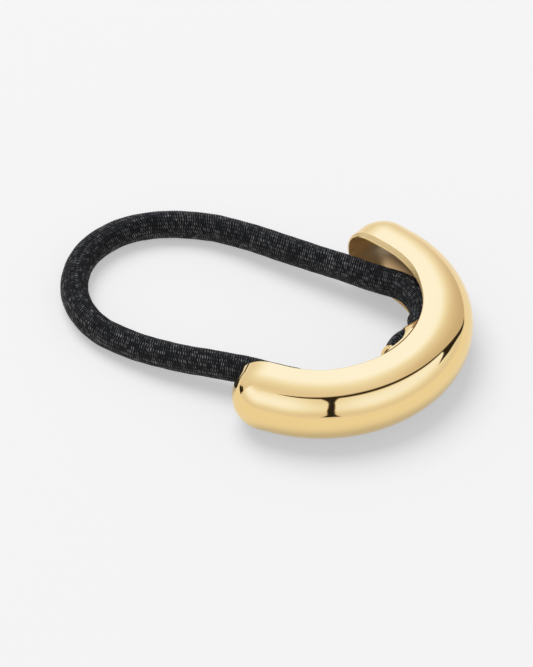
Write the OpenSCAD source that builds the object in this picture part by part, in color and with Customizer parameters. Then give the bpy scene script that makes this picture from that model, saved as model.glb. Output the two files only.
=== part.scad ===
// Ponytail cuff: a hollow polished metal arc, open on its inner side, with a
// slotted back plate at its middle and one closed loop of round elastic that
// runs inside the arc. Millimetres, +Z up, lying on its lower rim at z = 0.
// The arc's middle faces +X and the elastic loop reaches out towards -X.

/* [Arc] */
// Radius of the arc that the shell's section follows
arc_r = 18.7; // [16:0.1:24]
// Half of the angle that the arc turns through
arc_half = 80; // [65:1:85]
// Straight run between the arc and each rounded end
straight_l = 2.2; // [1:0.1:5]

/* [Section] */
// Depth of the bulge, outwards from the arc's line and past each end
bulge = 5.7; // [4.5:0.1:7]
// Height of the shell
shell_h = 10.8; // [10:0.1:13]
// Depth of the flat rims, inwards from the arc's line
rim_d = 2.4; // [1.5:0.1:3]
// Thickness of the shell's wall at its rims
wall = 1.2; // [0.8:0.1:1.4]
// Thickness of the shell's wall at the outermost line of the bulge
side_wall = 0.6; // [0.5:0.1:1.2]

/* [Back plate] */
// Gap between the plate and the shell's rims
plate_gap = 0.1; // [0.05:0.05:0.2]
// How far the plate bulges inwards from the rims
plate_bulge = 3.1; // [2.9:0.1:3.6]
// Thickness of the plate
plate_t = 0.7; // [0.5:0.1:0.8]
// Angle that the plate reaches on the -Y side
plate_a0 = 22; // [21.5:0.5:26]
// Angle that the plate reaches on the +Y side
plate_a1 = 12; // [11:0.5:13]
// Angle at which the slot begins, on the -Y side
slot_a0 = 14; // [10:0.5:14]
// Angle at which the slot ends, on the +Y side
slot_a1 = 3; // [0:0.5:3]
// Depth of the narrow rails above and below the slot
rail_d = 0.4; // [0.35:0.05:1.2]
// Depth of the notch in each end of the plate
notch_w = 1.5; // [1:0.05:1.6]
// Half height of each notch
notch_h = 5.1; // [4:0.1:5.1]
// Size of each notch's cut corners
notch_c = 0.8; // [0.5:0.1:1.2]

/* [Elastic] */
// Diameter of the elastic
elastic_d = 4.5; // [4:0.1:4.6]
// Sides of the elastic's tube
elastic_sides = 12; // [8:1:12]

/* [Hidden] */
$fn = 96;
half_h = shell_h / 2;
// The X of the arc's centre puts the shell's outline midway between -X and +X
reach = arc_r * cos(arc_half) - (straight_l + bulge) * sin(arc_half) - rim_d * cos(arc_half);
arc_x = -(arc_r + bulge + reach) / 2;
gold = [0.90, 0.74, 0.44];
black = [0.06, 0.06, 0.065];

// Half of an oval ring that stands upright: the wall of the bulge and of each
// rounded end
module half_ring() {
    difference() {
        intersection() {
            scale([bulge, half_h]) circle(r = 1);
            translate([0, -half_h - 1]) square([bulge + 1, shell_h + 2]);
        }
        scale([bulge - side_wall, half_h - wall]) circle(r = 1);
    }
}

// Section of the shell's wall, drawn with the arc's line at x = 0: the bulge
// outside it and two flat rims inside it
module section() {
    half_ring();
    for (y = [-half_h, half_h - wall])
        translate([-rim_d, y]) square([rim_d, wall]);
}

// The +Y half of the shell: half of the arc, cut off square at y = 0, a
// straight run and a rounded end
module half_shell() {
    difference() {
        rotate([0, 0, arc_half]) {
            mirror([0, 1, 0]) rotate_extrude(angle = arc_half + 2)
                translate([arc_r, half_h]) section();
            translate([arc_r, straight_l, half_h]) {
                rotate([90, 0, 0]) linear_extrude(height = straight_l) section();
                rotate_extrude(angle = 90) half_ring();
                rotate([90, 0, -90]) mirror([1, 0, 0])
                    linear_extrude(height = rim_d) half_ring();
            }
        }
        translate([0, -10, -1]) cube([arc_r * 2, 10, shell_h + 2]);
    }
}

// Hollow metal arc, closed all round its outside and open on its inner side
module shell() {
    color(gold) translate([arc_x, 0, 0]) union() {
        half_shell();
        mirror([0, 1, 0]) half_shell();
    }
}

// Half ring of the plate's section, "in" smaller all round
module plate_section(in = 0) {
    intersection() {
        scale([plate_bulge - in, half_h - 0.05 - in]) circle(r = 1);
        translate([-bulge * 2, -half_h]) square([bulge * 2 + in, shell_h]);
    }
}

// Curved plate that closes the open side at the arc's middle. A slot between
// two rails shows the elastic, and each end is hollowed by a wide notch, which
// leaves one narrow bar at each end of the slot.
module back_plate() {
    r0 = arc_r - rim_d - plate_gap;
    rm = r0 - plate_bulge / 2;
    color(gold) translate([arc_x, 0, 0]) difference() {
        rotate([0, 0, -plate_a0]) rotate_extrude(angle = plate_a0 + plate_a1)
            translate([r0, half_h]) difference() {
                plate_section();
                plate_section(plate_t);
            }
        // Slot: everything inside the rails, between two upright planes
        intersection() {
            translate([0, 0, -1]) cylinder(r = r0 - rail_d, h = shell_h + 2);
            translate([rm - 4, -rm * sin(slot_a0), -1])
                cube([8, rm * (sin(slot_a0) + sin(slot_a1)), shell_h + 2]);
        }
        // Notch in each end
        for (e = [[-plate_a0, 1], [plate_a1, -1]])
            translate([rm * cos(e[0]) - 4, rm * sin(e[0]), half_h]) rotate([0, 90, 0])
                linear_extrude(height = 8) polygon([
                    [-notch_h, -e[1]], [-notch_h, (notch_w - notch_c) * e[1]],
                    [-notch_h + notch_c, notch_w * e[1]], [notch_h - notch_c, notch_w * e[1]],
                    [notch_h, (notch_w - notch_c) * e[1]], [notch_h, -e[1]]
                ]);
    }
}

// Route of the elastic's middle line inside the arc, from the -Y arm to the +Y
// arm, behind the plate's two bars
route_in = [
    // [angle, distance outwards from the arc's line, z]
    [-80, -5.1, 4.7], [-63, -4.15, 5.2], [-47, -3.15, 5.8], [-33, -2.6, 6.2],
    [-19, -2.43, 6.5], [-7, -2.55, 6.7], [4, -2.4, 6.7], [16, -2.25, 6.7],
    [29, -2.15, 6.6], [43, -2.4, 6.35], [60, -3.2, 5.75], [80, -4.65, 4.9]
];
// The rest of the route: out along the +Y side, over the resting surface and
// back to the -Y arm
route_out = [
    // [x, y, z]
    [-12.2, 14.0, 4.5], [-17.4, 14.0, 4.1], [-22.6, 14.0, 3.7], [-27.8, 14.1, 3.3],
    [-33, 14.0, 2.9], [-38, 13.4, 2.5], [-42.7, 11.7, 2.3], [-46.8, 9.0, 2.3],
    [-50.1, 5.0, 2.3], [-51.8, 0, 2.3], [-51.5, -5.3, 2.3], [-49.3, -10.2, 2.3],
    [-45.6, -13.9, 2.3], [-41, -16.1, 2.4], [-35.9, -16.9, 2.7], [-30.6, -16.9, 3.1],
    [-25.4, -16.3, 3.5], [-20.2, -15.3, 3.9], [-15.2, -14.4, 4.3], [-11.3, -13.9, 4.5]
];
route = [
    for (p = route_in) [arc_x + (arc_r + p[1]) * cos(p[0]), (arc_r + p[1]) * sin(p[0]), p[2]],
    each route_out
];
// Rings between one route point and the next
steps = 2;
n_pts = len(route);
function pt(i) = route[(i + n_pts) % n_pts];
// Smooth curve through the route points
function curve(i, t) = let(a = pt(i - 1), b = pt(i), c = pt(i + 1), d = pt(i + 2))
    0.5 * ((2 * b) + (c - a) * t + (2 * a - 5 * b + 4 * c - d) * t * t
    + (3 * b - a - 3 * c + d) * t * t * t);
line = [for (i = [0 : n_pts - 1], k = [0 : steps - 1]) curve(i, k / steps)];
n_line = len(line);
function unit(v) = v / norm(v);
function along(i) = unit(line[(i + 1) % n_line] - line[(i + n_line - 1) % n_line]);
// One ring of the tube, square to the route, with a flat side underneath
function ring(i, r, n) = let(t = along(i), s = unit(cross(t, [0, 0, 1])), u = cross(s, t))
    [for (k = [0 : n - 1]) let(a = (k + 0.5) * 360 / n) line[i] + r * (cos(a) * s + sin(a) * u)];

// One closed loop of round elastic
module elastic() {
    n = elastic_sides;
    pts = [for (i = [0 : n_line - 1]) each ring(i, elastic_d / 2, n)];
    faces = [for (i = [0 : n_line - 1], k = [0 : n - 1])
        let(j = (i + 1) % n_line, m = (k + 1) % n)
        [i * n + k, i * n + m, j * n + m, j * n + k]];
    color(black) polyhedron(points = pts, faces = faces, convexity = 6);
}

shell();
back_plate();
elastic();
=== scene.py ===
"""Looks of the ponytail cuff: polished gold arc, slotted back plate and a loop
of black knitted elastic, on a plain pale floor under soft studio light."""

import math

import bmesh
import bpy
import numpy as np
from mathutils import Matrix, Vector
from mathutils.geometry import delaunay_2d_cdt


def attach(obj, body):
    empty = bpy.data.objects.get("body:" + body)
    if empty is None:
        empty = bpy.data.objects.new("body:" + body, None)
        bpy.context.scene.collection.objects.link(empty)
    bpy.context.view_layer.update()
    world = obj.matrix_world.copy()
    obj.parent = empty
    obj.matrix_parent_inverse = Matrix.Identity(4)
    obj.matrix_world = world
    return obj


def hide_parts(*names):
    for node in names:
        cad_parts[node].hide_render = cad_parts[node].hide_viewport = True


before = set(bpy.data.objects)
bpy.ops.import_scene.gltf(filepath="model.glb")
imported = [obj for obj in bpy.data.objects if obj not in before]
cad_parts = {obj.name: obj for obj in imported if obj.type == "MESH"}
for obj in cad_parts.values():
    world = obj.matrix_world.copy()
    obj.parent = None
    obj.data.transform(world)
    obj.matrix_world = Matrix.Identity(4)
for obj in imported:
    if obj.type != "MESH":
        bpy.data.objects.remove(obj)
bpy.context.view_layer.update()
MM = 0.001

# Sizes that part.scad gives, in millimetres
ARC_R, ARC_HALF, STRAIGHT = 18.7, math.radians(80), 2.2
BULGE, HALF_H, RIM, WALL, SIDE_WALL = 5.7, 5.4, 2.4, 1.2, 0.6
PLATE_GAP, PLATE_B, PLATE_T = 0.1, 3.1, 0.7
PLATE_A0, PLATE_A1 = 22.0, 12.0
SLOT_A0, SLOT_A1, RAIL = 14.0, 3.0, 0.4
NOTCH_W = 1.5
CORD_D = 4.5
R0 = ARC_R - RIM - PLATE_GAP            # the plate's rim edges
R_MID = R0 - PLATE_B / 2
PH = HALF_H - 0.05
REACH = ARC_R * math.cos(ARC_HALF) - (STRAIGHT + BULGE) * math.sin(ARC_HALF) - RIM * math.cos(ARC_HALF)
ARC_X = -(ARC_R + BULGE + REACH) / 2

# ---------------------------------------------------------------- camera
ELEV, TURN = math.radians(43.33), math.radians(29.65)
to_cam = Vector((math.sin(TURN) * math.cos(ELEV), -math.cos(TURN) * math.cos(ELEV), math.sin(ELEV)))
cam_right = Vector((math.cos(TURN), math.sin(TURN), 0.0))
cam_up = to_cam.cross(cam_right)
target = Vector((8.975, 0.0, 0.0))
place = (target + to_cam * 1125.0 - cam_right * 24.82 + cam_up * 8.51) * MM
cam_data = bpy.data.cameras.new("camera")
cam = bpy.data.objects.new("camera", cam_data)
bpy.context.scene.collection.objects.link(cam)
cam.matrix_world = Matrix.Translation(place) @ Matrix(
    (cam_right, cam_up, to_cam)).transposed().to_4x4()
cam_data.sensor_fit = "VERTICAL"
cam_data.sensor_height = 36.0
cam_data.sensor_width = 36.0
cam_data.lens = 7080.0 / 667.0 * 36.0
cam_data.clip_start = 0.01
cam_data.clip_end = 50.0
bpy.context.scene.camera = cam


# ---------------------------------------------------------------- helpers
def new_object(name, verts, faces, smooth=True, weld=None, marks=None):
    """A mesh object from points in millimetres. marks is one number a point, kept as a mesh attribute that sets the
    gold's finish and its painted tones."""
    mesh = bpy.data.meshes.new(name)
    mesh.from_pydata([tuple(float(c) * MM for c in v) for v in verts], [], [tuple(f) for f in faces])
    if marks is not None:
        attr = mesh.attributes.new("satin_and_painted_light", "FLOAT", "POINT")
        attr.data.foreach_set("value", [float(m) for m in marks])
    if weld:
        bm = bmesh.new()
        bm.from_mesh(mesh)
        bmesh.ops.remove_doubles(bm, verts=bm.verts, dist=weld * MM)
        bmesh.ops.dissolve_degenerate(bm, edges=bm.edges, dist=1e-8)
        bmesh.ops.recalc_face_normals(bm, faces=bm.faces)
        bm.to_mesh(mesh)
        bm.free()
    mesh.update()
    if smooth:
        mesh.polygons.foreach_set("use_smooth", [True] * len(mesh.polygons))
    obj = bpy.data.objects.new(name, mesh)
    bpy.context.scene.collection.objects.link(obj)
    return obj


def smoothstep(e0, e1, x):
    t = np.clip((x - e0) / (e1 - e0), 0.0, 1.0)
    return t * t * (3 - 2 * t)


# ---------------------------------------------------------------- elastic
# The same route as part.scad's: inside the arc, then out over the floor
ROUTE_IN = [
    (-80, -5.1, 4.7), (-63, -4.15, 5.2), (-47, -3.15, 5.8), (-33, -2.6, 6.2),
    (-19, -2.43, 6.5), (-7, -2.55, 6.7), (4, -2.4, 6.7), (16, -2.25, 6.7),
    (29, -2.15, 6.6), (43, -2.4, 6.35), (60, -3.2, 5.75), (80, -4.65, 4.9),
]
ROUTE_OUT = [
    (-12.2, 14.0, 4.5), (-17.4, 14.0, 4.1), (-22.6, 14.0, 3.7), (-27.8, 14.1, 3.3),
    (-33, 14.0, 2.9), (-38, 13.4, 2.5), (-42.7, 11.7, 2.3), (-46.8, 9.0, 2.3),
    (-50.1, 5.0, 2.3), (-51.8, 0, 2.3), (-51.5, -5.3, 2.3), (-49.3, -10.2, 2.3),
    (-45.6, -13.9, 2.3), (-41, -16.1, 2.4), (-35.9, -16.9, 2.7), (-30.6, -16.9, 3.1),
    (-25.4, -16.3, 3.5), (-20.2, -15.3, 3.9), (-15.2, -14.4, 4.3), (-11.3, -13.9, 4.5),
]


def polar(angle, u, z):
    a = math.radians(angle)
    return (ARC_X + (ARC_R + u) * math.cos(a), (ARC_R + u) * math.sin(a), z)


def closed_curve(points, per):
    """Catmull-Rom curve through points, all the way round."""
    p = np.array(points, float)
    n = len(p)
    out = []
    for i in range(n):
        a, b, c, d = p[i - 1], p[i], p[(i + 1) % n], p[(i + 2) % n]
        for k in range(per):
            t = k / per
            out.append(0.5 * (2 * b + (c - a) * t + (2 * a - 5 * b + 4 * c - d) * t * t
                              + (3 * b - a - 3 * c + d) * t ** 3))
    return np.array(out)


def evenly(line, count):
    """count points at even spacing round a closed line, and its length."""
    ring = np.vstack([line, line[:1]])
    step = np.linalg.norm(np.diff(ring, axis=0), axis=1)
    at = np.concatenate([[0], np.cumsum(step)])
    want = np.linspace(0, at[-1], count, endpoint=False)
    return np.stack([np.interp(want, at, ring[:, k]) for k in range(3)], 1), at[-1]


# The route starts where the elastic leaves the -Y arm and runs out, round and
# back through the arc to the same place
start = [(-15.2, -14.4, 4.3)]
k0 = ROUTE_OUT.index(start[0])
order = ROUTE_OUT[k0::-1] + [polar(*p) for p in ROUTE_IN[::-1]] + ROUTE_OUT[:k0:-1]
fine = closed_curve(order, 60)
RINGS, SIDES = 1850, 40
centre, cord_len = evenly(fine, RINGS)
tan = np.roll(centre, -3, 0) - np.roll(centre, 3, 0)
tan /= np.linalg.norm(tan, axis=1)[:, None]
side = np.cross(tan, [0, 0, 1.0])
side /= np.linalg.norm(side, axis=1)[:, None]
up = np.cross(side, tan)
theta = np.linspace(0, 2 * math.pi, SIDES, endpoint=False)
s_at = np.arange(RINGS) * (cord_len / RINGS)
RIBS = RINGS // 5                       # one raised course every five rings
S, TH = np.meshgrid(s_at, theta, indexing="ij")
course = 2 * math.pi * RIBS * S / cord_len
# each course of the knit leans one way and then the other round the cord
lean = 0.55 * np.sin(2 * TH) + 0.35 * np.sin(5 * TH + 0.07 * S * 2 * math.pi)
ridge = 0.034 * np.cos(course + lean)
# the cover is a little uneven, as a drawn knit tube is
uneven = 0.018 * np.sin(0.83 * S + 3 * TH) + 0.014 * np.sin(0.37 * S - 2 * TH + 1.3) + 0.012 * np.sin(1.9 * S + TH)
radius = CORD_D / 2 - 0.03 + ridge + uneven
# squeezed by the plate's two bars, the soft elastic fills the slot between
# them, a little proud of the plate's face, and bulges again beyond the +Y bar
turn_at = np.degrees(np.arctan2(centre[:, 1], centre[:, 0] - ARC_X))
in_arc = centre[:, 0] > -6.0
cth, sth = np.cos(TH), np.sin(TH)
inwards = (R0 - np.hypot(centre[:, 0] - ARC_X, centre[:, 1]))[:, None]
raised_by = (centre[:, 2] - HALF_H)[:, None]
qa = (cth / PLATE_B) ** 2 + (sth / PH) ** 2
qb = 2 * (inwards * cth / PLATE_B ** 2 + raised_by * sth / PH ** 2)
qc = (inwards / PLATE_B) ** 2 + (raised_by / PH) ** 2 - 1
to_face = (-qb + np.sqrt(np.maximum(0.01, qb * qb - 4 * qa * qc))) / (2 * qa)
th_deg = (np.degrees(TH) + 180) % 360 - 180
proud = np.clip(0.50 - 0.8 * ((turn_at + 4.0) / 9) ** 2, -0.8, 0.50)[:, None]
proud = proud * smoothstep(-40, 20, th_deg) * (1 - smoothstep(62, 84, th_deg))
filled = smoothstep(-60, -20, th_deg) * (1 - smoothstep(76, 90, th_deg))
filled = filled * (smoothstep(-13.9, -11.0, turn_at) * (1 - smoothstep(2.0, 3.2, turn_at)) * in_arc)[:, None]
radius = radius + filled * (to_face + proud - CORD_D / 2)
beyond = 0.46 * smoothstep(20.0, 25.0, turn_at) * (1 - smoothstep(26.0, 31.0, turn_at)) * in_arc
radius = radius + beyond[:, None] * np.maximum(0, np.cos(TH - math.radians(5))) ** 1.3
pos = centre[:, None, :] + radius[..., None] * (
    np.cos(TH)[..., None] * side[:, None, :] + np.sin(TH)[..., None] * up[:, None, :])
# the floor holds the underside up
pos[..., 2] = np.maximum(pos[..., 2], 0.06)
verts = pos.reshape(-1, 3)
faces = []
for i in range(RINGS):
    j = (i + 1) % RINGS
    for k in range(SIDES):
        m = (k + 1) % SIDES
        faces.append((i * SIDES + k, j * SIDES + k, j * SIDES + m, i * SIDES + m))
elastic = new_object("elastic_loop", verts, faces)
uv = elastic.data.uv_layers.new(name="cloth")
loop_uv = np.empty((len(elastic.data.loops), 2))
loop_vert = np.empty(len(elastic.data.loops), dtype=np.int64)
elastic.data.loops.foreach_get("vertex_index", loop_vert)
ri, ki = loop_vert // SIDES, loop_vert % SIDES
loop_uv[:, 0] = ri / RINGS
loop_uv[:, 1] = ki / SIDES
corner = np.arange(len(loop_vert)) % 4
face_ring = np.repeat(np.arange(RINGS), SIDES * 4)
loop_uv[(face_ring == RINGS - 1) & (ri == 0), 0] = 1.0
face_side = np.tile(np.repeat(np.arange(SIDES), 4), RINGS)
loop_uv[(face_side == SIDES - 1) & (ki == 0), 1] = 1.0
uv.data.foreach_set("uv", loop_uv.ravel())
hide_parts("elastic")
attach(elastic, "root")


# ---------------------------------------------------------------- shell
def stations():
    """(foot point, outward direction, arm side) along the arc from the -Y end
    to the +Y end. At the rounded ends the direction turns about one foot."""
    out = []
    for s in (-1, 1):
        n = np.array([math.cos(ARC_HALF), s * math.sin(ARC_HALF)])
        t = np.array([-math.sin(ARC_HALF), s * math.cos(ARC_HALF)])
        base = np.array([ARC_X, 0.0]) + ARC_R * n
        foot = base + STRAIGHT * t
        nose = [(foot, math.cos(a) * n + math.sin(a) * t, "nose") for a in np.radians(np.linspace(90, 0, 37))]
        run = [(base + STRAIGHT * f * t, n, "arm") for f in (0.75, 0.5, 0.25)]
        out.append(nose + run)
    arc = []
    for a in np.radians(np.linspace(-80, 80, 241)):
        d = np.array([math.cos(a), math.sin(a)])
        arc.append((np.array([ARC_X, 0.0]) + ARC_R * d, d, "arm"))
    return out[0] + arc + out[1][::-1]


st = stations()
NJ = 84
phis = np.linspace(math.pi / 2, -math.pi / 2, NJ + 1)
verts, faces, satin_and_painted_light = [], [], []


def outer(ph):
    return BULGE * math.cos(ph), HALF_H * math.sin(ph)


def inner(ph):
    """The hollow's section: fuller in its corners than an oval."""
    c, n = max(0.0, math.cos(ph)), math.sin(ph)
    return (BULGE - SIDE_WALL) * c ** 0.74, (HALF_H - WALL) * math.copysign(abs(n) ** 0.74, n)


def turned(d):
    """Angle of a direction from the arc's middle, without its sign."""
    return abs(math.degrees(math.atan2(d[1], d[0])))


def hollow_finish_and_shade(d):
    """Mark of the hollow's satin finish and painted tone: 0.7 along the arc, where the hollow is painted lighter, up
    to 1 in the ends, where it is painted darker.
    """
    return float(np.interp(turned(d), [84, 104, 118, 134], [0.70, 0.74, 0.92, 1.0]))


def grid(section, flip):
    base = len(verts)
    for foot, d, _ in st:
        for ph in phis:
            u, z = section(ph)
            verts.append((foot[0] + u * d[0], foot[1] + u * d[1], HALF_H + z))
            satin_and_painted_light.append(hollow_finish_and_shade(d) if flip else 0.0)
    w = NJ + 1
    for i in range(len(st) - 1):
        for j in range(NJ):
            q = (base + i * w + j, base + i * w + j + 1, base + (i + 1) * w + j + 1, base + (i + 1) * w + j)
            faces.append(q[::-1] if flip else q)


grid(outer, False)
grid(inner, True)

# The flat rims and the mouth's edge, as one ring round the mouth: (point on the outside, point on the inside,
# direction towards the mouth, mark of the hollow's satin finish and painted tone there, how far the edge is
# chamfered)
ring = []


def chamfer(d):
    return float(smoothstep(38, 60, turned(d)))


arm = [s for s in st if s[2] == "arm"]
feet = [st[36]] + arm + [st[-37]]      # where each rounded end begins
for foot, d, _ in feet:
    o = np.array([foot[0], foot[1], 2 * HALF_H])
    ring.append((o, o - [0, 0, WALL], -np.array([d[0], d[1], 0]), hollow_finish_and_shade(d), chamfer(d)))


def end_column(station, inward, order_phi):
    foot, d, _ = station
    for ph in order_phi:
        (uo, zo), (ui, zi) = outer(ph), inner(ph)
        o = np.array([foot[0] + uo * d[0], foot[1] + uo * d[1], HALF_H + zo])
        i = np.array([foot[0] + ui * d[0], foot[1] + ui * d[1], HALF_H + zi])
        ring.append((o, i, inward, 1.0, 1.0))


end_column(st[-1], -np.array([*feet[-1][1], 0]), phis[1:-1])
for foot, d, _ in feet[::-1]:
    o = np.array([foot[0], foot[1], 0.0])
    ring.append((o, o + [0, 0, WALL], -np.array([d[0], d[1], 0]), hollow_finish_and_shade(d), chamfer(d) * 0.0))
end_column(st[0], -np.array([*feet[0][1], 0]), phis[::-1][1:-1])

# Profile of the edge: (distance from the foot, share of the wall from the outside, mark of satin finish and painted
# tone). Beside the plate it is square with a fine rounding. Further round it leans back and ends in a fine raised
# lip. The mark 0.5 paints the cut face a paler gold, painted light, and marks between 0 and 0.5 paint the roundings
# beside it a darker orange, painted shade lines.
LEAD = [(0, 0, 0), (0.8, 0, 0), (1.6, 0, 0)]
SQUARE = [(RIM - 0.30, 0, 0), (RIM - 0.16, 0, 0), (RIM - 0.10, 0.006, 0), (RIM - 0.04, 0.03, 0.1), (RIM, 0.10, 0.5),
          (RIM, 0.25, 0.5), (RIM, 0.40, 0.5), (RIM, 0.55, 0.5), (RIM, 0.66, 0.5), (RIM, 0.75, 0.5), (RIM, 0.80, 0.5),
          (RIM, 0.86, 0.5), (RIM - 0.02, 0.93, 0.5), (RIM - 0.06, 0.98, 0.6), (RIM - 0.12, 1, 0.7)]
LEANING = [(RIM - 0.50, 0, 0), (RIM - 0.42, 0, 0), (RIM - 0.37, 0.012, 0), (RIM - 0.33, 0.045, 0.3), (RIM - 0.30, 0.10, 0.5),
           (RIM - 0.23, 0.26, 0.5), (RIM - 0.16, 0.42, 0.5), (RIM - 0.09, 0.58, 0.5), (RIM - 0.035, 0.695, 0.5), (RIM - 0.01, 0.74, 0.1),
           (RIM + 0.07, 0.82, 0.0), (RIM + 0.085, 0.87, 0.4), (RIM + 0.06, 0.935, 0.7), (RIM, 0.98, 0.7), (RIM - 0.10, 1, 0.7)]
TAIL = [(RIM - 0.3, 1, 0.7), (1.6, 1, 0.7), (0.8, 1, 0.7), (0, 1, 0.7)]
prof = LEAD + SQUARE + TAIL
base = len(verts)
for o, i, d, mark, lean_by in ring:
    mixed = [tuple(a + (b - a) * lean_by for a, b in zip(p, q)) for p, q in zip(SQUARE, LEANING)]
    for dist, w, m in LEAD + mixed + TAIL:
        verts.append(tuple(o + (i - o) * w + d * dist))
        # the lower rim's cut face is painted a darker orange: a painted reflection of the gold in itself
        if m == 0.5 and i[2] > o[2] + 0.9 * WALL:
            m = 0.36                     # the lower rim's cut face
        satin_and_painted_light.append(mark if m >= 0.7 else m)
w = len(prof)
for m in range(len(ring)):
    m2 = (m + 1) % len(ring)
    for j in range(w - 1):
        faces.append((base + m * w + j, base + m2 * w + j, base + m2 * w + j + 1, base + m * w + j + 1))
shell = new_object("gold_shell", verts, faces, weld=0.0004, marks=satin_and_painted_light)
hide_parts("shell")
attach(shell, "root")

# ---------------------------------------------------------------- back plate
# The plate is drawn flat, as (distance round the arc, distance over its
# section), with its slot and notch, and then bent to its place.
zeta = np.linspace(-math.pi / 2, math.pi / 2, 721)
prof_o = np.stack([PLATE_B * np.cos(zeta), PH * np.sin(zeta)], 1)
arc_len = np.concatenate([[0], np.cumsum(np.linalg.norm(np.diff(prof_o, axis=0), axis=1))])
half_len = arc_len[-1] / 2


def plate_point(x, y, depth):
    """Point of the plate at x round the arc, y over the section from its
    middle, depth below its inner face (that which faces the hair)."""
    a = x / R_MID
    ze = np.interp(y + half_len, arc_len, zeta)
    px, pz = PLATE_B * math.cos(ze), PH * math.sin(ze)
    nx, nz = math.cos(ze) / PLATE_B, math.sin(ze) / PH
    k = math.hypot(nx, nz)
    u = max(0.0, px - depth * nx / k)
    z = pz - depth * nz / k
    r = R0 - u
    return (ARC_X + r * math.cos(a), r * math.sin(a), HALF_H + z)


def y_at_depth(depth):
    """Distance over the section from its middle, at depth inwards from R0."""
    ze = math.acos(depth / PLATE_B)
    return float(np.interp(ze, zeta, arc_len)) - half_len


def round_corners(pts, r, n=7):
    out = []
    m = len(pts)
    for i in range(m):
        p, a, b = np.array(pts[i], float), np.array(pts[i - 1], float), np.array(pts[(i + 1) % m], float)
        rr = r[i] if isinstance(r, (list, tuple)) else r
        if rr <= 0:
            out.append(tuple(p))
            continue
        va, vb = (a - p) / np.linalg.norm(a - p), (b - p) / np.linalg.norm(b - p)
        ang = math.acos(np.clip(va @ vb, -1, 1))
        cut = rr / math.tan(ang / 2)
        c = p + (va + vb) / np.linalg.norm(va + vb) * (rr / math.sin(ang / 2))
        p1, p2 = p + va * cut, p + vb * cut
        t1, t2 = math.atan2(*(p1 - c)[::-1]), math.atan2(*(p2 - c)[::-1])
        dt = (t2 - t1 + math.pi) % (2 * math.pi) - math.pi
        for k in range(n + 1):
            t = t1 + dt * k / n
            out.append((c[0] + rr * math.cos(t), c[1] + rr * math.sin(t)))
    return out


def resample(poly, step):
    out = []
    m = len(poly)
    for i in range(m):
        a, b = np.array(poly[i]), np.array(poly[(i + 1) % m])
        k = max(1, int(np.ceil(np.linalg.norm(b - a) / step)))
        for q in range(k):
            out.append(tuple(a + (b - a) * q / k))
    return out


def deg(a):
    return math.radians(a) * R_MID


def notch(a_rim, a_mid, power):
    """Edge of the notch in one end, from the lower rim to the upper one."""
    pts = []
    for f in np.sin(np.radians(np.linspace(-90, 90, 61))):
        a = a_rim + (a_mid - a_rim) * (1 - abs(float(f)) ** power)
        pts.append((deg(a), float(f) * (half_len - 0.04)))
    return pts


DEEP = math.degrees(NOTCH_W / R_MID)
near = notch(-PLATE_A0, -PLATE_A0 + DEEP + 0.9, 16)
far = notch(PLATE_A1, PLATE_A1 - DEEP, 7)
outline = [(deg(-PLATE_A0), -half_len), (deg(PLATE_A1), -half_len)] + far + \
    [(deg(PLATE_A1), half_len), (deg(-PLATE_A0), half_len)] + near[::-1]
y_rail = y_at_depth(RAIL)


def slot_end(a_mid, a_rail, power):
    """Rounded end of the slot: at a_mid half way up, at a_rail beside the rails."""
    pts = []
    for f in np.sin(np.radians(np.linspace(-90, 90, 41))):
        pts.append((deg(a_mid + (a_rail - a_mid) * abs(float(f)) ** power), y_rail * float(f)))
    return pts


slot = slot_end(SLOT_A1 + 0.4, -6.0, 11) + slot_end(-SLOT_A0 + 1.0, -SLOT_A0 - 0.4, 3)[::-1]
outline = resample(outline, 0.16)
slot = resample(slot, 0.16)


def inside(pt, poly):
    x, y = pt
    hit = False
    m = len(poly)
    for i in range(m):
        (x1, y1), (x2, y2) = poly[i], poly[(i + 1) % m]
        if (y1 > y) != (y2 > y) and x < (x2 - x1) * (y - y1) / (y2 - y1) + x1:
            hit = not hit
    return hit


def clear_of(pt, poly, gap):
    p = np.array(poly)
    return np.min(np.hypot(p[:, 0] - pt[0], p[:, 1] - pt[1])) > gap


EDGE_OUT, EDGE_SLOT = 0.24, 0.10         # rounding of the plate's cut edges


def shrink(poly, by, sign):
    """The polygon moved by `by` along its own normals, less so beside the rims."""
    p = np.array(poly)
    t = np.roll(p, -1, 0) - np.roll(p, 1, 0)
    t /= np.maximum(1e-9, np.linalg.norm(t, axis=1))[:, None]
    nrm = np.stack([t[:, 1], -t[:, 0]], 1) * sign
    less = 0.06 + 0.94 * smoothstep(0.0, 0.30, half_len - np.abs(p[:, 1]))
    if poly is slot:
        less = less * 0 + 1
    return [tuple(q) for q in p + nrm * (by * less)[:, None]]


def area(poly):
    p = np.array(poly)
    return 0.5 * np.sum(p[:, 0] * np.roll(p[:, 1], -1) - np.roll(p[:, 0], -1) * p[:, 1])


sign_out = -1 if area(outline) > 0 else 1
sign_slot = 1 if area(slot) > 0 else -1
face_out = shrink(outline, EDGE_OUT, sign_out)
face_slot = shrink(slot, EDGE_SLOT, sign_slot)
pts2 = list(face_out) + list(face_slot)
line_out = [q for by in (0.12, 0.28, 0.36) for q in shrink(outline, EDGE_OUT + by, sign_out) if q[0] > deg(4.0) and abs(q[1]) < half_len - 0.3]
n_o, n_s = len(face_out), len(face_slot)
grid_pts = []
for gx in np.arange(deg(-PLATE_A0), deg(PLATE_A1), 0.2):
    for gy in np.arange(-half_len, half_len, 0.2):
        g = (float(gx) + 0.07, float(gy) + 0.05)
        if inside(g, face_out) and not inside(g, face_slot) and clear_of(g, face_out, 0.1) and clear_of(g, face_slot, 0.1) \
                and clear_of(g, line_out, 0.06):
            grid_pts.append(g)
pts2 += line_out
far_edge = np.array([q for q in face_out if q[0] > deg(4.0)])
pts2 += grid_pts
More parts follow.
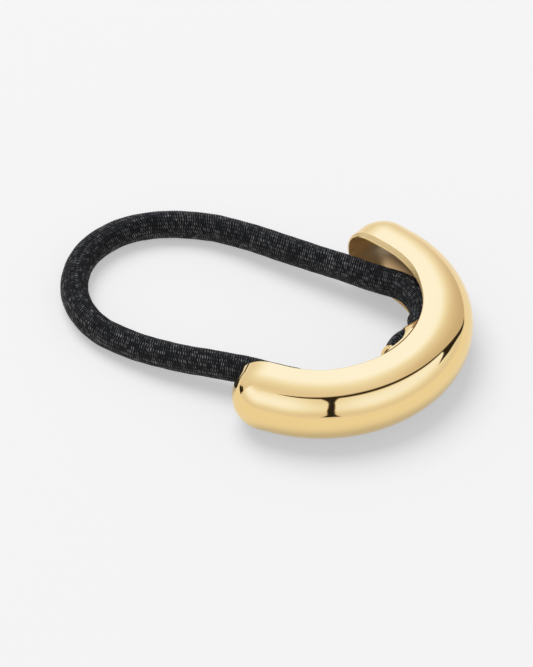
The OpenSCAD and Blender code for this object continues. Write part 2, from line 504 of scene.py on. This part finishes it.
edges2 = [(i, (i + 1) % n_o) for i in range(n_o)] + [(n_o + i, n_o + (i + 1) % n_s) for i in range(n_s)]
res = delaunay_2d_cdt([Vector(p) for p in pts2], edges2, [], 0, 1e-6)
flat, tri = [tuple(v) for v in res[0]], res[2]
keep = []
for f in tri:
    c = np.mean([flat[i] for i in f], axis=0)
    if inside(c, face_out) and not inside(c, face_slot):
        keep.append(tuple(f))
verts, faces, satin_and_painted_light = [], [], []
for d in (0.0, PLATE_T):
    base = len(verts)
    verts += [plate_point(x, y, d) for x, y in flat]
    # the +Y end is edged with a painted dark line: painted shade along that edge
    satin_and_painted_light += [0.5 if d == 0 and np.min(np.hypot(*(far_edge - q).T)) < 0.31 else 0.0 for q in np.array(flat)]
    faces += [tuple(base + i for i in (f if d == 0 else f[::-1])) for f in keep]
for poly, sgn, edge in ((outline, sign_out, EDGE_OUT), (slot, sign_slot, EDGE_SLOT)):
    base = len(verts)
    steps = [(edge, 0.0)]
    for a in np.radians((22.5, 45, 67.5, 90)):
        steps.append((edge * (1 - math.sin(a)), edge * (1 - math.cos(a))))
    steps += [(0.0, PLATE_T / 2)]
    steps += [(q[0], PLATE_T - q[1]) for q in steps[:-1][::-1]]
    for k, (off, d) in enumerate(steps):
        verts += [plate_point(x, y, d) for x, y in shrink(poly, off, sgn)]
        # the rounding at the +Y end carries the same painted shade line
        satin_and_painted_light += [0.5 if poly is outline and k < 6 and x > deg(4.0) else 0.0 for x, y in poly]
    m = len(poly)
    for k in range(len(steps) - 1):
        for i in range(m):
            j = (i + 1) % m
            faces.append((base + k * m + i, base + k * m + j, base + (k + 1) * m + j, base + (k + 1) * m + i))
plate = new_object("gold_back_plate", verts, faces, weld=0.002, marks=satin_and_painted_light)
plate.data.set_sharp_from_angle(angle=math.radians(50))
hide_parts("back_plate")
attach(plate, "root")


# ---------------------------------------------------------------- materials
def material(name):
    mat = bpy.data.materials.new(name)
    mat.use_nodes = True
    tree = mat.node_tree
    return mat, tree, tree.nodes["Principled BSDF"]


def node(tree, kind, **values):
    n = tree.nodes.new(kind)
    for key, value in values.items():
        if key in n.inputs:
            n.inputs[key].default_value = value
        else:
            setattr(n, key, value)
    return n


def ramp(tree, stops, interpolation="LINEAR"):
    n = tree.nodes.new("ShaderNodeValToRGB")
    n.color_ramp.interpolation = interpolation
    el = n.color_ramp.elements
    while len(el) > 1:
        el.remove(el[-1])
    el[0].position, el[0].color = stops[0][0], (*stops[0][1], 1)
    for at, col in stops[1:]:
        e = el.new(at)
        e.color = (*col, 1)
    return n


def gold(name, base, deep, cut=(1.0, 0.755, 0.38)):
    """Mirror-polished pale gold with faint polishing marks and a slight drift
    of tone from alloy and handling."""
    mat, tree, bsdf = material(name)
    link = tree.links.new
    bsdf.inputs["Metallic"].default_value = 1.0
    where = node(tree, "ShaderNodeTexCoord")
    drift = node(tree, "ShaderNodeTexNoise", Scale=90.0, Detail=2.0)
    link(where.outputs["Object"], drift.inputs["Vector"])
    tone = ramp(tree, [(0.3, deep), (0.7, base)])
    link(drift.outputs["Fac"], tone.inputs["Fac"])
    inside_of = node(tree, "ShaderNodeAttribute", attribute_name="satin_and_painted_light")
    # the cut edges and the hollow get painted tones: the shell's cut face a paler gold (painted light, standing for
    # the pale floor's reflection), the lower rim's cut face a darker orange (painted reflection of the gold), the
    # plate's +Y edge a dark brown line (painted shade), and the hollow lighter along the arc and darker in the
    # rounded ends (painted light and painted shade)
    hollow = ramp(tree, [(0.36, (0.70, 0.42, 0.15)), (0.46, cut), (0.52, cut), (0.68, (1.0, 0.67, 0.34)),
                         (0.86, (0.93, 0.67, 0.37)), (1.0, (0.80, 0.62, 0.36))])
    link(inside_of.outputs["Fac"], hollow.inputs["Fac"])
    where_in = node(tree, "ShaderNodeMath", operation="MULTIPLY", use_clamp=True)
    where_in.inputs[1].default_value = 2.2
    link(inside_of.outputs["Fac"], where_in.inputs[0])
    blend = node(tree, "ShaderNodeMixRGB")
    link(where_in.outputs[0], blend.inputs["Fac"])
    link(tone.outputs["Color"], blend.inputs["Color1"])
    link(hollow.outputs["Color"], blend.inputs["Color2"])
    # light thrown on the pale floor loses its tint
    rays_in = node(tree, "ShaderNodeLightPath")
    plainer = node(tree, "ShaderNodeMixRGB")
    plainer.inputs["Color2"].default_value = (0.30, 0.30, 0.31, 1)
    link(rays_in.outputs["Is Diffuse Ray"], plainer.inputs["Fac"])
    link(blend.outputs["Color"], plainer.inputs["Color1"])
    link(plainer.outputs["Color"], bsdf.inputs["Base Color"])
    polish = node(tree, "ShaderNodeTexNoise", Scale=420.0, Detail=4.0)
    link(where.outputs["Object"], polish.inputs["Vector"])
    rough = ramp(tree, [(0.35, (0.035,) * 3), (0.75, (0.065,) * 3)])
    link(polish.outputs["Fac"], rough.inputs["Fac"])
    # the hollow inside and the cut edge are left satin
    matt = ramp(tree, [(0.0, (0.0,) * 3), (0.30, (0.35,) * 3), (0.50, (0.42,) * 3), (1.0, (0.40,) * 3)])
    link(inside_of.outputs["Fac"], matt.inputs["Fac"])
    # the hollow along the arc is made mostly non-metal so that it takes more light there and looks lighter: painted
    # light
    metal = ramp(tree, [(0.0, (1.0,) * 3), (0.55, (1.0,) * 3), (0.68, (0.20,) * 3), (0.86, (0.60,) * 3), (1.0, (0.97,) * 3)])
    link(inside_of.outputs["Fac"], metal.inputs["Fac"])
    link(metal.outputs["Color"], bsdf.inputs["Metallic"])
    less = node(tree, "ShaderNodeMath", operation="ADD")
    link(matt.outputs["Color"], less.inputs[0])
    link(rough.outputs["Color"], less.inputs[1])
    link(less.outputs[0], bsdf.inputs["Roughness"])
    # hairline polishing marks
    stretch = node(tree, "ShaderNodeMapping")
    stretch.inputs["Scale"].default_value = (300.0, 1200.0, 2600.0)
    link(where.outputs["Object"], stretch.inputs["Vector"])
    marks = node(tree, "ShaderNodeTexNoise", Scale=1.0, Detail=3.0)
    link(stretch.outputs["Vector"], marks.inputs["Vector"])
    bump = node(tree, "ShaderNodeBump", Strength=0.012, Distance=0.00002)
    link(marks.outputs["Fac"], bump.inputs["Height"])
    link(bump.outputs["Normal"], bsdf.inputs["Normal"])
    return mat


shell.data.materials.append(gold("pale_gold", (0.925, 0.685, 0.315), (0.915, 0.672, 0.302)))
# the plate's cut-edge tone is dark brown, for the painted shade line along its +Y end
plate.data.materials.append(gold("pale_gold_plate", (0.91, 0.66, 0.29), (0.90, 0.645, 0.275), (0.46, 0.24, 0.07)))

# Knitted black cover: fine courses across the cord, short thread marks that
# lean left and right in turn, and a few lighter flecks
mat, tree, bsdf = material("black_knit")
link = tree.links.new
uvn = node(tree, "ShaderNodeUVMap", uv_map="cloth")
sep = node(tree, "ShaderNodeSeparateXYZ")
link(uvn.outputs["UV"], sep.inputs["Vector"])


def math_node(op, a, b=None, c=None, t=None):
    t = t or tree
    n = t.nodes.new("ShaderNodeMath")
    n.operation = op
    for i, v in enumerate((a, b, c)):
        if v is None:
            continue
        if isinstance(v, (int, float)):
            n.inputs[i].default_value = v
        else:
            t.links.new(v, n.inputs[i])
    return n.outputs[0]


U, V = sep.outputs["X"], sep.outputs["Y"]
AROUND = 22                               # threads' lengths round the cord


def noise(scale, vector, detail=2.0):
    n = node(tree, "ShaderNodeTexNoise", Scale=scale, Detail=detail, Roughness=0.6)
    link(vector, n.inputs["Vector"])
    return n.outputs["Fac"]


wide = node(tree, "ShaderNodeCombineXYZ")
link(math_node("MULTIPLY", U, float(RIBS)), wide.inputs["X"])
link(math_node("MULTIPLY", V, float(AROUND)), wide.inputs["Y"])
turn = math_node("MULTIPLY", V, 2 * math.pi)
lean_n = math_node("ADD", math_node("MULTIPLY", math_node("SINE", math_node("MULTIPLY", turn, 2.0)), 0.55),
                   math_node("MULTIPLY", math_node("SINE", math_node("ADD", math_node("MULTIPLY", turn, 5.0),
                             math_node("MULTIPLY", U, 0.07 * cord_len * 2 * math.pi))), 0.35))
# each wale of stitches is a row round the cord; its threads lean, and are
# pushed along by a little so that no two rows line up
row_at = math_node("ADD", math_node("MULTIPLY", V, float(AROUND)),
                   math_node("MULTIPLY", noise(0.55, wide.outputs["Vector"]), 1.1))
row = math_node("FLOOR", row_at)
across = math_node("FRACT", row_at)
offset = node(tree, "ShaderNodeTexWhiteNoise", noise_dimensions="1D")
link(row, offset.inputs["W"])
phase = math_node("ADD", math_node("MULTIPLY", U, 2 * math.pi * RIBS), lean_n)
phase = math_node("ADD", phase, math_node("MULTIPLY", offset.outputs["Value"], 2 * math.pi))
phase = math_node("ADD", phase, math_node("MULTIPLY", across, 2.6))
phase = math_node("ADD", phase, math_node("MULTIPLY", noise(0.23, wide.outputs["Vector"]), 9.0))
stitch = math_node("COSINE", phase)
thread = math_node("MULTIPLY_ADD", stitch, 0.5, 0.5)
# a thread shows most in the middle of its row
crown = math_node("SINE", math_node("MULTIPLY", across, math.pi))
which = node(tree, "ShaderNodeCombineXYZ")
link(math_node("FLOOR", math_node("DIVIDE", phase, 2 * math.pi)), which.inputs["X"])
link(row, which.inputs["Y"])
pick = node(tree, "ShaderNodeTexWhiteNoise", noise_dimensions="2D")
link(which.outputs["Vector"], pick.inputs["Vector"])
fibre = noise(3.1, wide.outputs["Vector"], 3.0)
patch = noise(0.12, wide.outputs["Vector"], 2.0)
raised = math_node("MULTIPLY", math_node("POWER", thread, 1.6), math_node("MULTIPLY_ADD", crown, 0.7, 0.3))
height = math_node("ADD", math_node("MULTIPLY", raised, 1.0), math_node("MULTIPLY", fibre, 0.5))
bump = node(tree, "ShaderNodeBump", Strength=1.0, Distance=0.00011)
link(height, bump.inputs["Height"])
link(bump.outputs["Normal"], bsdf.inputs["Normal"])
# a few threads are paler than the rest
pale = math_node("MULTIPLY_ADD", math_node("POWER", pick.outputs["Value"], 2.2), 0.85, 0.22)
# the base colour is painted lighter on the threads' raised crowns and darker in the grooves between them, painted
# sheen and painted shade, on top of the paler threads' own tone
lit = math_node("MULTIPLY", raised, math_node("MULTIPLY", pale, math_node("MULTIPLY_ADD", patch, 0.9, 0.55)))
lit = math_node("ADD", lit, math_node("MULTIPLY", fibre, 0.10))
shade = ramp(tree, [(0.04, (0.004, 0.004, 0.0042)), (0.24, (0.027, 0.027, 0.0275)), (0.48, (0.150, 0.150, 0.151)),
                    (0.80, (0.30, 0.30, 0.30)), (1.0, (0.42, 0.42, 0.42))])
link(lit, shade.inputs["Fac"])
link(shade.outputs["Color"], bsdf.inputs["Base Color"])
bsdf.inputs["Roughness"].default_value = 0.65
bsdf.inputs["Specular IOR Level"].default_value = 0.12
bsdf.inputs["Sheen Weight"].default_value = 0.03
bsdf.inputs["Sheen Roughness"].default_value = 0.45
elastic.data.materials.append(mat)

# ---------------------------------------------------------------- stage
FLOOR = 3.0
floor = new_object("floor", [(-FLOOR / MM, -FLOOR / MM, 0), (FLOOR / MM, -FLOOR / MM, 0),
                             (FLOOR / MM, FLOOR / MM, 0), (-FLOOR / MM, FLOOR / MM, 0)], [(0, 1, 2, 3)], smooth=False)
fmat, ftree, fb = material("pale_floor")
fb.inputs["Base Color"].default_value = (0.80, 0.80, 0.80, 1)
fb.inputs["Roughness"].default_value = 1.0
fb.inputs["Specular IOR Level"].default_value = 0.0
# light that comes up through the pale floor softens what shade falls on it
fb.inputs["Emission Color"].default_value = (1, 1, 1, 1)
fb.inputs["Emission Strength"].default_value = 0.423
floor.data.materials.append(fmat)

# The room: what polished metal sees is a set of large soft boxes, and what
# lights everything else is their even white glow.
world = bpy.data.worlds.new("studio")
bpy.context.scene.world = world
world.use_nodes = True
tree = world.node_tree
tree.nodes.clear()
link = tree.links.new


def M(op, a, b=None, c=None):
    return math_node(op, a, b, c, tree)


def step(e0, e1, x):
    """Smooth step from 0 at e0 to 1 at e1."""
    n = tree.nodes.new("ShaderNodeMapRange")
    n.interpolation_type = "SMOOTHSTEP"
    n.inputs["From Min"].default_value = e0
    n.inputs["From Max"].default_value = e1
    n.inputs["To Min"].default_value = 0.0
    n.inputs["To Max"].default_value = 1.0
    if e0 > e1:
        n.inputs["From Min"].default_value = e1
        n.inputs["From Max"].default_value = e0
        n.inputs["To Min"].default_value = 1.0
        n.inputs["To Max"].default_value = 0.0
    link(x, n.inputs["Value"])
    return n.outputs["Result"]


def curve(x, lo, hi, pts, scale):
    """A smooth line through a few points (x, y), y given times scale."""
    n = tree.nodes.new("ShaderNodeFloatCurve")
    cv = n.mapping.curves[0]
    n.mapping.use_clip = False
    pts = [((p - lo) / (hi - lo), q / scale) for p, q in pts]
    cv.points[0].location = pts[0]
    cv.points[1].location = pts[-1]
    for p in pts[1:-1]:
        cv.points.new(*p)
    n.mapping.update()
    link(M("DIVIDE", M("SUBTRACT", x, lo), hi - lo), n.inputs["Value"])
    return M("MULTIPLY", n.outputs["Value"], scale)


def times(*xs):
    out = xs[0]
    for x in xs[1:]:
        out = M("MULTIPLY", out, x)
    return out


def mixf(f, a, b):
    """a where f is 0, b where f is 1."""
    return M("ADD", M("MULTIPLY", M("SUBTRACT", 1.0, f), a), M("MULTIPLY", f, b))


co = node(tree, "ShaderNodeTexCoord")
turned = node(tree, "ShaderNodeVectorRotate", rotation_type="Z_AXIS")
# turned so that its X axis points at the photograph's side of the room
turned.inputs["Angle"].default_value = math.pi / 2 - TURN
link(co.outputs["Generated"], turned.inputs["Vector"])
sxyz = node(tree, "ShaderNodeSeparateXYZ")
link(turned.outputs["Vector"], sxyz.inputs["Vector"])
X, Y, Z = sxyz.outputs["X"], sxyz.outputs["Y"], sxyz.outputs["Z"]
AZ = M("MULTIPLY", M("ARCTAN2", Y, X), 180 / math.pi)
EL = M("MULTIPLY", M("ARCSINE", M("MINIMUM", M("MAXIMUM", Z, -1.0), 1.0)), 180 / math.pi)

# Overhead and rear light: brightest behind and above, falling off to the sides
BX, BZ = -math.cos(math.radians(48)), math.sin(math.radians(48))
cosb = M("ADD", M("MULTIPLY", X, BX), M("MULTIPLY", Z, BZ))
ang = M("MULTIPLY", M("ARCCOSINE", M("MINIMUM", M("MAXIMUM", cosb, -1.0), 1.0)), 180 / math.pi)
glow = M("EXPONENT", M("MULTIPLY", M("POWER", M("DIVIDE", ang, 34.0), 2.0), -1.0))
high = M("MULTIPLY_ADD", glow, 0.52, 0.77)
dim = times(step(78, 112, AZ), step(174, 142, AZ), step(76, 50, EL))
high = M("SUBTRACT", high, M("MULTIPLY", dim, 0.22))

# Front soft boxes
rise = M("ADD", M("MULTIPLY", step(3, 34, EL), 0.40), 0.84)
rise = M("SUBTRACT", rise, M("MULTIPLY", step(40, 62, EL), 0.16))
left_fall = M("SUBTRACT", 1.0, M("MULTIPLY", step(-30, 4, AZ), 0.18))
right_fall = M("SUBTRACT", 1.0, M("MULTIPLY", step(40, 12, AZ), 0.10))
left = times(rise, left_fall)
right = times(rise, right_fall, 0.96)

# The dark arch between the front boxes and the overhead light
arch = curve(AZ, -180, 180, [(-180, 20), (-130, 28), (-100, 42), (-60, 58), (-40, 63), (-15, 66.8), (10, 68), (30, 67.6),
                             (50, 65.8), (70, 61), (85, 54.5), (100, 43), (109.8, 31), (113.8, 24), (117.5, 17.2), (120.5, 11.4),
                             (125, 4.8), (130, 0.2), (150, -30), (180, -40)], 90.0)
above = M("SUBTRACT", EL, arch)
arch_w = curve(AZ, -180, 180, [(-180, 0.2), (-60, 0.3), (-42, 1.0), (-20, 2.3), (0, 3.0), (40, 3.8), (80, 4.4), (100, 3.4),
                               (112, 1.8), (125, 0.7), (131, 0.5), (180, 0.3)], 10.0)
arch_on = times(step(-52, -36, AZ), step(134, 128, AZ))
arch_dark = times(M("SUBTRACT", 1.0, M("MINIMUM", M("MAXIMUM", M("SUBTRACT", M("DIVIDE", M("ABSOLUTE", above), arch_w), 0.55), 0.0), 1.0)), arch_on)
sky = step(-1.0, 1.0, above)
sky_soft = step(-16.0, 16.0, above)
left_soft = step(-36, -58, AZ)
sky_mix = mixf(left_soft, sky, sky_soft)

is_right = step(5.5, 6.5, AZ)
panels = mixf(is_right, left, right)
# the upright dark bar between the two front boxes, flared at both ends
bar_c = M("ADD", 7.2, M("MULTIPLY", M("MAXIMUM", M("SUBTRACT", EL, 25.0), 0.0), 0.10))
bar_h = M("ADD", 2.6, M("ADD", M("MULTIPLY", M("POWER", M("MAXIMUM", M("DIVIDE", M("SUBTRACT", EL, 46.0), 20.0), 0.0), 3.0), 9.0),
                        M("MULTIPLY", M("POWER", M("MAXIMUM", M("DIVIDE", M("SUBTRACT", 14.0, EL), 9.0), 0.0), 2.0), 3.0)))
bar_d = M("DIVIDE", M("ABSOLUTE", M("SUBTRACT", AZ, bar_c)), bar_h)
bar = times(step(1.35, 0.8, bar_d), step(2.5, 5.0, EL), step(3.0, -1.0, above))
# left box ends upright, right box ends in a point, black beyond both
left_gap = times(step(-97.0, -99.5, AZ), step(-126, -120, M("ADD", AZ, M("MULTIPLY", EL, -0.9))), step(15.5, 13, EL))
gap_low = curve(AZ, 60, 150, [(60, 24), (88, 21.5), (95, 20.8), (100, 19.8), (105, 17.4), (110, 15.2), (114, 12.2), (117, 8.8),
                              (120.5, 4.4), (125.5, 0.8), (130, -1.5), (150, -3)], 90.0)
gap_top = curve(AZ, 60, 150, [(60, 20), (88, 20), (94.4, 21.7), (98.5, 24.1), (104.6, 27.1), (108, 32), (112, 60), (150, 60)], 90.0)
right_gap = times(step(90, 95, AZ), step(-0.8, 0.8, M("SUBTRACT", EL, gap_low)), step(0.8, -0.8, M("SUBTRACT", EL, gap_top)),
                  step(0.0, -1.2, above))
horizon = step(2.0, 16.0, EL)
front = mixf(horizon, 0.83, panels)
# the front boxes' light stops at the left box's edge
front_on = step(-100, -96, AZ)
front = mixf(front_on, high, front)
lum = mixf(sky_mix, front, high)
dark = M("MAXIMUM", M("MAXIMUM", arch_dark, bar), M("MAXIMUM", left_gap, M("MULTIPLY", right_gap, 1.0)))
lum = mixf(dark, lum, 0.022)
# below the horizon the room is as pale as the floor
lum = mixf(step(0.6, -0.6, EL), lum, 0.86)
tint = ramp(tree, [(0.0, (0.0, 0.0, 0.0)), (0.5 / 1.6, (0.56 / 3, 0.50 / 3, 0.45 / 3)), (0.75 / 1.6, (0.78 / 3, 0.75 / 3, 0.79 / 3)),
                   (1.0 / 1.6, (0.93 / 3, 1.0 / 3, 1.16 / 3)), (1.25 / 1.6, (1.07 / 3, 1.25 / 3, 1.85 / 3)), (1.4 / 1.6, (1.10 / 3, 1.40 / 3, 2.4 / 3))])
link(M("DIVIDE", lum, 1.6), tint.inputs["Fac"])
shine = node(tree, "ShaderNodeBackground", Strength=3.0)
link(tint.outputs["Color"], shine.inputs["Color"])
plain = node(tree, "ShaderNodeBackground", Strength=0.28)
plain.inputs["Color"].default_value = (1, 1, 1, 1)
rays = node(tree, "ShaderNodeLightPath")
mix = node(tree, "ShaderNodeMixShader")
# the metal throws little light on the floor, and that from the plain glow
direct = node(tree, "ShaderNodeMath", operation="LESS_THAN")
direct.inputs[1].default_value = 0.5
link(rays.outputs["Diffuse Depth"], direct.inputs[0])
mirrored = node(tree, "ShaderNodeMath", operation="MULTIPLY")
link(rays.outputs["Is Glossy Ray"], mirrored.inputs[0])
link(direct.outputs[0], mirrored.inputs[1])
link(mirrored.outputs[0], mix.inputs["Fac"])
thrown = node(tree, "ShaderNodeMath", operation="SUBTRACT")
link(rays.outputs["Is Glossy Ray"], thrown.inputs[0])
link(mirrored.outputs[0], thrown.inputs[1])
glow_left = node(tree, "ShaderNodeMath", operation="MULTIPLY_ADD")
link(thrown.outputs[0], glow_left.inputs[0])
glow_left.inputs[1].default_value = -0.24
glow_left.inputs[2].default_value = 0.28
link(glow_left.outputs[0], plain.inputs["Strength"])
link(plain.outputs["Background"], mix.inputs[1])
link(shine.outputs["Background"], mix.inputs[2])
out = node(tree, "ShaderNodeOutputWorld")
link(mix.outputs["Shader"], out.inputs["Surface"])


def soft_light(name, towards, dist, size, power):
    data = bpy.data.lights.new(name, "AREA")
    data.shape = "DISK"
    data.size = size
    data.energy = power
    obj = bpy.data.objects.new(name, data)
    d = Vector(towards).normalized()
    obj.location = d * dist
    obj.rotation_euler = d.to_track_quat("Z", "Y").to_euler()
    obj.visible_glossy = False
    bpy.context.scene.collection.objects.link(obj)
    return obj


back = Vector((-to_cam.x, -to_cam.y, 0)).normalized()
soft_light("overhead", back * 0.42 + Vector((0, 0, 1.0)) - cam_right * 0.30, 4.0, 3.4, 69.0)

# a low fill that reaches only the shell; its light shows mostly in the satin hollow
fill = soft_light("hollow_fill", to_cam + Vector((0, 0, 0.25)), 2.0, 0.5, 38.0)
lit_by_fill = bpy.data.collections.new("lit_by_fill")
lit_by_fill.objects.link(shell)
fill.light_linking.receiver_collection = lit_by_fill

scene = bpy.context.scene
scene.view_settings.view_transform = "Standard"
scene.view_settings.look = "None"
scene.view_settings.exposure = 0.0
scene.view_settings.gamma = 1.0
